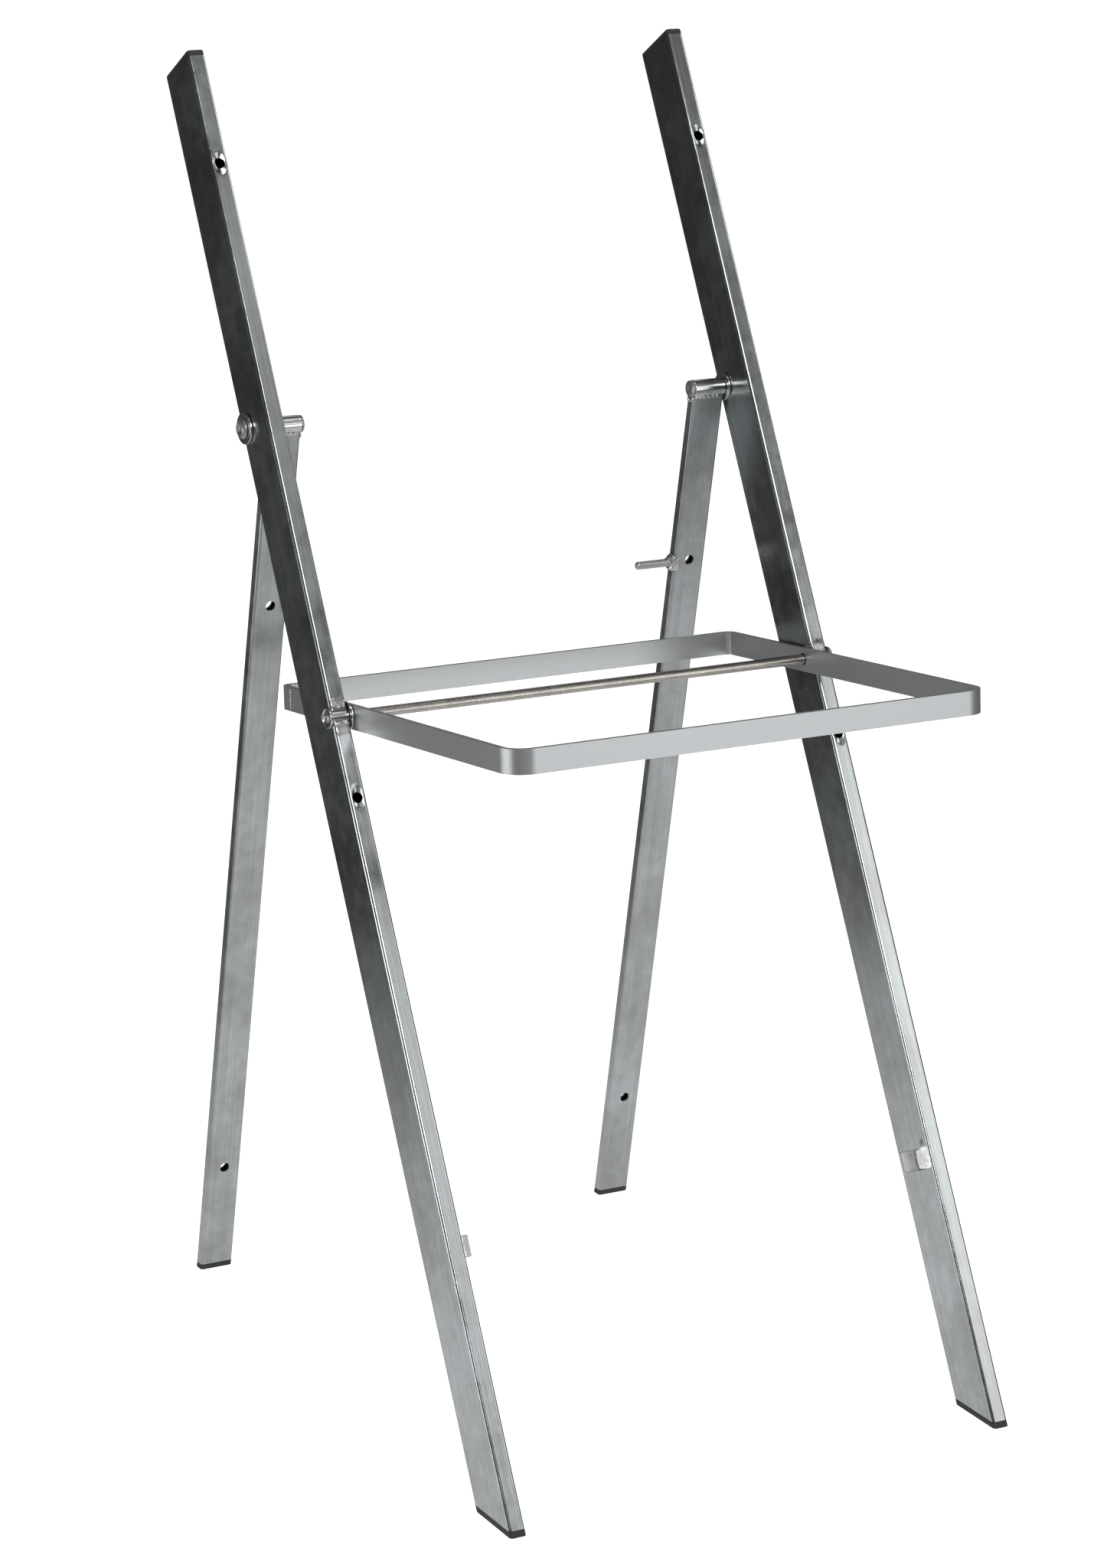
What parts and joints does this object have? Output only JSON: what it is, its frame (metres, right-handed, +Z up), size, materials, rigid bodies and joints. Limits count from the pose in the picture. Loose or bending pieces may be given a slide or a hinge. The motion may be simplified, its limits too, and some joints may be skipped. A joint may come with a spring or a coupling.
{
  "type": "folding chair frame",
  "caption": "Bare steel frame of a folding garden chair: straight raked legs, hinged rear legs on rivets and a flat-bar seat ring turning on a cross rod. No slats fitted.",
  "frame": {"origin": "on the floor, under the middle of the open frame's bounding box", "axes": "+Z up, -Y the way the open chair faces, +X towards the leg that is on the right for someone in front of it"},
  "size_m": [0.3558, 0.468, 0.7843],
  "materials": {
    "zinc": "zinc-plated tube, mottled satin",
    "zinc_ring": "zinc-plated flat bar, satin",
    "zinc_barrel": "zinc-plated, smooth",
    "zinc_washer": "zinc-plated, smooth",
    "zinc_tab": "zinc-plated, satin",
    "zinc_pin": "zinc-plated, satin",
    "rivet_steel": "zinc-plated, pressed",
    "rod_steel": "polished rod",
    "black_plastic": "black moulded plastic"
  },
  "bodies": {
    "frame": {"front_leg_left": "zinc", "front_leg_right": "zinc", "top_cap_left": "black_plastic", "top_cap_right": "black_plastic", "front_foot_cap_left": "black_plastic", "front_foot_cap_right": "black_plastic", "seat_barrel_left": "zinc_barrel", "seat_barrel_right": "zinc_barrel", "seat_rod": "rod_steel", "rod_end_washer_left": "zinc_washer", "rod_end_washer_right": "zinc_washer", "seat_washer_left": "zinc_washer", "seat_washer_right": "zinc_washer", "upper_rivet_left": "rivet_steel", "upper_rivet_right": "rivet_steel", "upper_washer_outer_left": "zinc_washer", "upper_washer_outer_right": "zinc_washer", "upper_washer_inner_left": "zinc_washer", "upper_washer_inner_right": "zinc_washer", "fold_tab_left": "zinc_tab", "fold_tab_right": "zinc_tab"},
    "rear_left": {"rear_leg_left": "zinc", "rear_barrel_left": "zinc_barrel", "rear_foot_cap_left": "black_plastic", "stop_pin_left": "zinc_pin"},
    "rear_right": {"rear_leg_right": "zinc", "rear_barrel_right": "zinc_barrel", "rear_foot_cap_right": "black_plastic", "stop_pin_right": "zinc_pin"},
    "seat": {"seat_ring": "zinc_ring"}
  },
  "joints": [
    {"name": "seat_fold", "type": "hinge", "parent": "frame", "child": "seat", "pos_m": [0, 0.00618, 0.42172], "axis": [-1, 0, 0], "range_deg": [0, 112]},
    {"name": "rear_left_fold", "type": "hinge", "parent": "frame", "child": "rear_left", "pos_m": [-0.1492, 0.1189, 0.57134], "axis": [-1, 0, 0], "range_deg": [0, 38.1]},
    {"name": "rear_right_fold", "type": "hinge", "parent": "frame", "child": "rear_right", "pos_m": [0.1492, 0.1189, 0.57134], "axis": [-1, 0, 0], "range_deg": [0, 38.1]}
  ],
  "couplings": [
    {"joint": "rear_left_fold", "follows": "seat_fold", "ratio": 0.34},
    {"joint": "rear_right_fold", "follows": "seat_fold", "ratio": 0.34}
  ]
}
